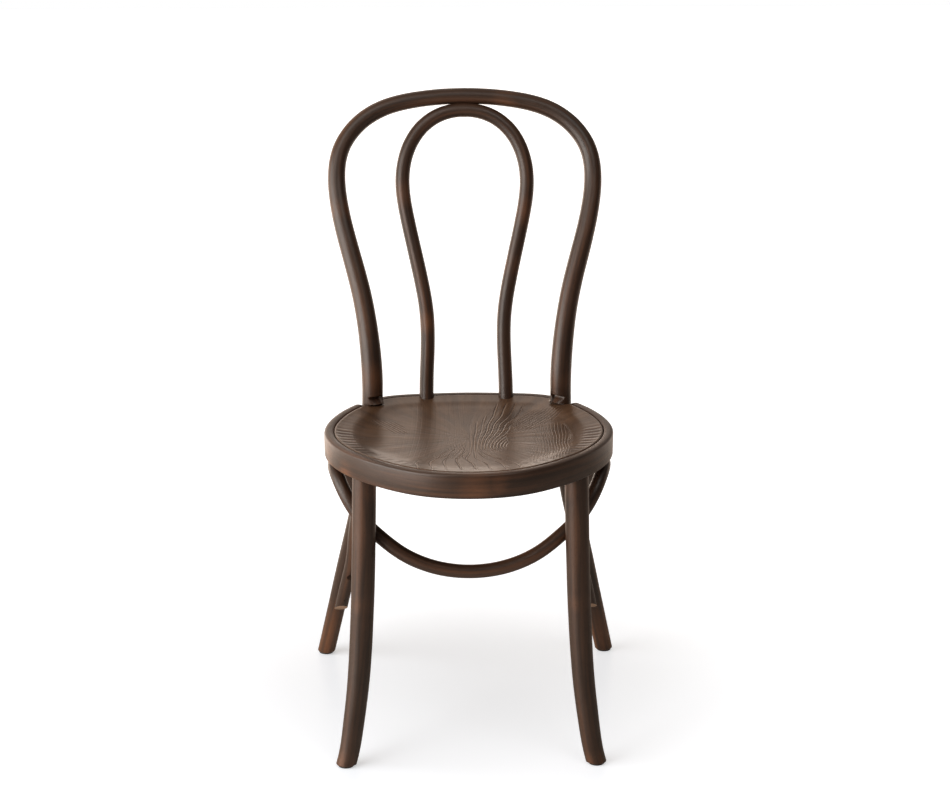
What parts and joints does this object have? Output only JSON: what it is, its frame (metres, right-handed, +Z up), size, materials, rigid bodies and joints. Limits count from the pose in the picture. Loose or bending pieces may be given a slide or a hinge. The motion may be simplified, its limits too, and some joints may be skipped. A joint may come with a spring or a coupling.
{
  "type": "bentwood bistro chair",
  "caption": "Bentwood side chair with a round dished panel seat, a hoop back that runs down into the rear legs, an inner loop and a brace bow.",
  "frame": {"origin": "centre of the chair's footprint box on the floor", "axes": "+Z up, -Y towards the sitter's front, +X to the right seen from the front"},
  "size_m": [0.4632, 0.5366, 0.8921],
  "materials": {
    "walnut_stain": "satin dark walnut stain, rubbed at the edges",
    "seat_ply": "satin grey-brown stained plywood with pressed rays",
    "steel": "dull zinc-plated steel",
    "glide": "dark nylon"
  },
  "bodies": {
    "root": {"back_hoop": "walnut_stain", "inner_loop": "walnut_stain", "seat_ring": "walnut_stain", "seat_panel": "seat_ply", "front_leg_left": "walnut_stain", "front_leg_right": "walnut_stain", "brace_bow": "walnut_stain", "rear_leg_bolts": "steel", "rear_leg_washers": "steel", "rear_leg_nuts": "steel", "front_leg_screws": "steel", "bow_ring_screws": "steel", "bow_front_leg_screws": "steel", "bow_rear_leg_screws": "steel", "loop_top_screw": "steel", "bow_end_pins": "steel", "glide_front_left": "glide", "glide_front_right": "glide", "glide_rear_left": "glide", "glide_rear_right": "glide", "glide_nails": "steel"}
  },
  "joints": []
}
